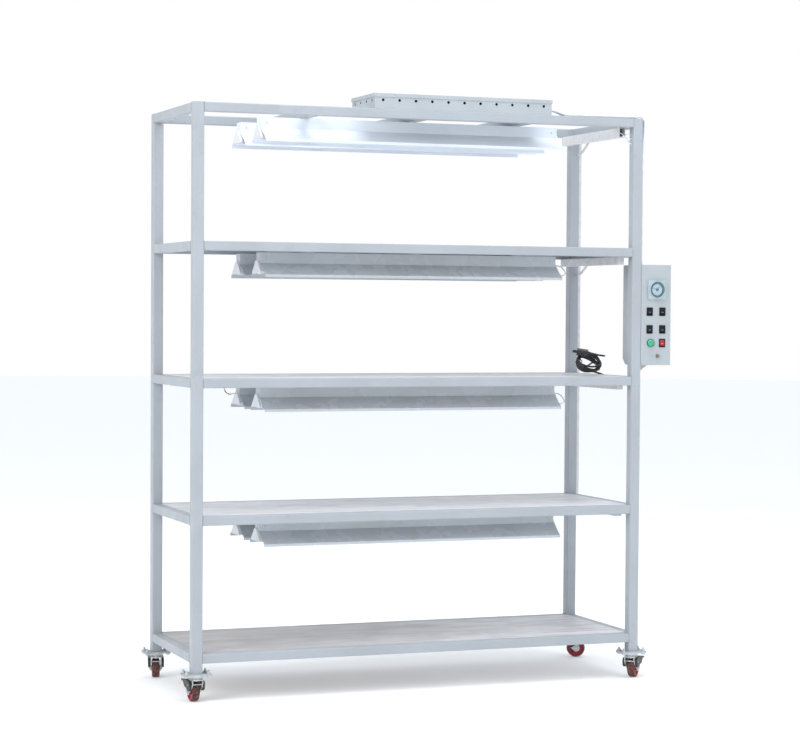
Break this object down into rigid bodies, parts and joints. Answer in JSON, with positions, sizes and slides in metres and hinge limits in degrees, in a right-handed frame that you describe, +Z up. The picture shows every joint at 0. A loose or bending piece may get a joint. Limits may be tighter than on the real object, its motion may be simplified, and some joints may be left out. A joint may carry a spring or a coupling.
{
  "type": "lighted shelf rack on casters",
  "caption": "Mobile welded square-tube shelf rack with hanging fluorescent battens, a ballast box on top and a side control box with timer and rocker switches.",
  "frame": {"origin": "bottom centre of the whole object without its mains cord, on the floor that the wheels stand on", "axes": "+Z up, +X along the shelves toward the control box, front at -Y"},
  "size_m": [1.9924, 0.698, 2.272],
  "materials": {
    "ballast_case": "white enamel",
    "box_paint": "fine texture powder coat",
    "brake_black": "moulded black",
    "cable_white": "white sheath",
    "cord_black": "black sheath",
    "frame_paint": "satin powder coat, pale blue grey",
    "fuse_black": "moulded black",
    "lamp_bezel": "dark green collar",
    "lamp_enamel": "gloss white enamel",
    "lens_green": "translucent green",
    "shelf_paint": "satin powder coat with faint rub marks",
    "switch_black": "moulded black",
    "switch_red": "translucent red",
    "terminal_plastic": "moulded beige",
    "timer_case": "clear cover over a pale plate",
    "timer_ring": "dark blue grey ring",
    "trunk_plastic": "extruded white",
    "tube_glass": "opal phosphor glass with metal caps",
    "wheel_red": "moulded polyurethane, dusty tread",
    "white_plastic": "moulded white",
    "zinc_plate": "bright zinc plate"
  },
  "bodies": {
    "rack": {"ballast_box_base": "box_paint", "ballast_box_lid": "box_paint", "ballasts": "ballast_case", "cable_trunks": "trunk_plastic", "caster_bolts": "zinc_plate", "caster_top_plates": "zinc_plate", "control_box_body": "box_paint", "control_box_cover": "box_paint", "cord_gland": "cord_black", "fuse_holder": "fuse_black", "lamp_batten_2": "lamp_enamel", "lamp_batten_3": "lamp_enamel", "lamp_batten_4": "lamp_enamel", "lamp_batten_5": "lamp_enamel", "lamp_end_fittings": "white_plastic", "lamp_reflector_2": "lamp_enamel", "lamp_reflector_3": "lamp_enamel", "lamp_reflector_4": "lamp_enamel", "lamp_reflector_5": "lamp_enamel", "lamp_tubes": "tube_glass", "level_1_frame": "frame_paint", "level_2_frame": "frame_paint", "level_3_frame": "frame_paint", "level_4_frame": "frame_paint", "level_5_frame": "frame_paint", "mains_coil": "cord_black", "mains_cord": "cord_black", "mains_plug": "cord_black", "pilot_lamp_body": "lamp_bezel", "pilot_lamp_lens": "lens_green", "shelf_panel_1": "shelf_paint", "shelf_panel_2": "shelf_paint", "shelf_panel_3": "shelf_paint", "shelf_panel_4": "shelf_paint", "switch_bodies": "switch_black", "terminal_block": "terminal_plastic", "timer_housing": "timer_case", "upright_front_left": "frame_paint", "upright_front_right": "frame_paint", "upright_rear_left": "frame_paint", "upright_rear_right": "frame_paint", "wiring_cables": "cable_white"},
    "fork_front_left": {"caster_fork_front_left": "zinc_plate"},
    "wheel_front_left": {"caster_wheel_front_left": "wheel_red"},
    "brake_front_left": {"caster_brake_front_left": "brake_black"},
    "fork_front_right": {"caster_fork_front_right": "zinc_plate"},
    "wheel_front_right": {"caster_wheel_front_right": "wheel_red"},
    "brake_front_right": {"caster_brake_front_right": "brake_black"},
    "fork_rear_left": {"caster_fork_rear_left": "zinc_plate"},
    "wheel_rear_left": {"caster_wheel_rear_left": "wheel_red"},
    "brake_rear_left": {"caster_brake_rear_left": "brake_black"},
    "fork_rear_right": {"caster_fork_rear_right": "zinc_plate"},
    "wheel_rear_right": {"caster_wheel_rear_right": "wheel_red"},
    "brake_rear_right": {"caster_brake_rear_right": "brake_black"},
    "rocker_1": {"rocker_1": "switch_black"},
    "rocker_2": {"rocker_2": "switch_black"},
    "rocker_3": {"rocker_3": "switch_black"},
    "rocker_4": {"rocker_4": "switch_black"},
    "main_switch": {"main_switch_rocker": "switch_red"},
    "timer_dial": {"timer_dial": "timer_ring"}
  },
  "joints": [
    {"name": "swivel_front_left", "type": "hinge", "parent": "rack", "child": "fork_front_left", "pos_m": [-0.94375, -0.31596, 0.095], "axis": [0, 0, 1], "continuous": true},
    {"name": "roll_front_left", "type": "hinge", "parent": "fork_front_left", "child": "wheel_front_left", "pos_m": [-0.94527, -0.287, 0.0375], "axis": [-0.9986, -0.0523, 0], "continuous": true},
    {"name": "brake_press_front_left", "type": "hinge", "parent": "fork_front_left", "child": "brake_front_left", "pos_m": [-0.94364, -0.31796, 0.066], "axis": [-0.9986, -0.0523, 0], "range_deg": [0, 9]},
    {"name": "swivel_front_right", "type": "hinge", "parent": "rack", "child": "fork_front_right", "pos_m": [0.84625, -0.31596, 0.095], "axis": [0, 0, 1], "continuous": true},
    {"name": "roll_front_right", "type": "hinge", "parent": "fork_front_right", "child": "wheel_front_right", "pos_m": [0.8664, -0.2951, 0.0375], "axis": [-0.7193, 0.6947, 0], "continuous": true},
    {"name": "brake_press_front_right", "type": "hinge", "parent": "fork_front_right", "child": "brake_front_right", "pos_m": [0.84486, -0.3174, 0.066], "axis": [-0.7193, 0.6947, 0], "range_deg": [0, 9]},
    {"name": "swivel_rear_left", "type": "hinge", "parent": "rack", "child": "fork_rear_left", "pos_m": [-0.94375, 0.26404, 0.095], "axis": [0, 0, 1], "continuous": true},
    {"name": "roll_rear_left", "type": "hinge", "parent": "fork_rear_left", "child": "wheel_rear_left", "pos_m": [-0.93723, 0.2923, 0.0375], "axis": [-0.9744, 0.225, 0], "continuous": true},
    {"name": "brake_press_rear_left", "type": "hinge", "parent": "fork_rear_left", "child": "brake_rear_left", "pos_m": [-0.9442, 0.26209, 0.066], "axis": [-0.9744, 0.225, 0], "range_deg": [0, 9]},
    {"name": "swivel_rear_right", "type": "hinge", "parent": "rack", "child": "fork_rear_right", "pos_m": [0.84625, 0.26404, 0.095], "axis": [0, 0, 1], "continuous": true},
    {"name": "roll_rear_right", "type": "hinge", "parent": "fork_rear_right", "child": "wheel_rear_right", "pos_m": [0.87383, 0.25508, 0.0375], "axis": [0.309, 0.9511, 0], "continuous": true},
    {"name": "brake_press_rear_right", "type": "hinge", "parent": "fork_rear_right", "child": "brake_rear_right", "pos_m": [0.84435, 0.26466, 0.066], "axis": [0.309, 0.9511, 0], "range_deg": [0, 9]},
    {"name": "rocker_1_tilt", "type": "hinge", "parent": "rack", "child": "rocker_1", "pos_m": [0.90325, -0.33096, 1.455], "axis": [1, 0, 0], "range_deg": [0, 16]},
    {"name": "rocker_2_tilt", "type": "hinge", "parent": "rack", "child": "rocker_2", "pos_m": [0.95925, -0.33096, 1.455], "axis": [1, 0, 0], "range_deg": [0, 16]},
    {"name": "rocker_3_tilt", "type": "hinge", "parent": "rack", "child": "rocker_3", "pos_m": [0.90325, -0.33096, 1.385], "axis": [1, 0, 0], "range_deg": [0, 16]},
    {"name": "rocker_4_tilt", "type": "hinge", "parent": "rack", "child": "rocker_4", "pos_m": [0.95925, -0.33096, 1.385], "axis": [1, 0, 0], "range_deg": [0, 16]},
    {"name": "main_switch_tilt", "type": "hinge", "parent": "rack", "child": "main_switch", "pos_m": [0.95925, -0.33096, 1.331], "axis": [1, 0, 0], "range_deg": [0, 16]},
    {"name": "timer_dial_turn", "type": "hinge", "parent": "rack", "child": "timer_dial", "pos_m": [0.93125, -0.34396, 1.542], "axis": [0, 1, 0], "continuous": true}
  ]
}
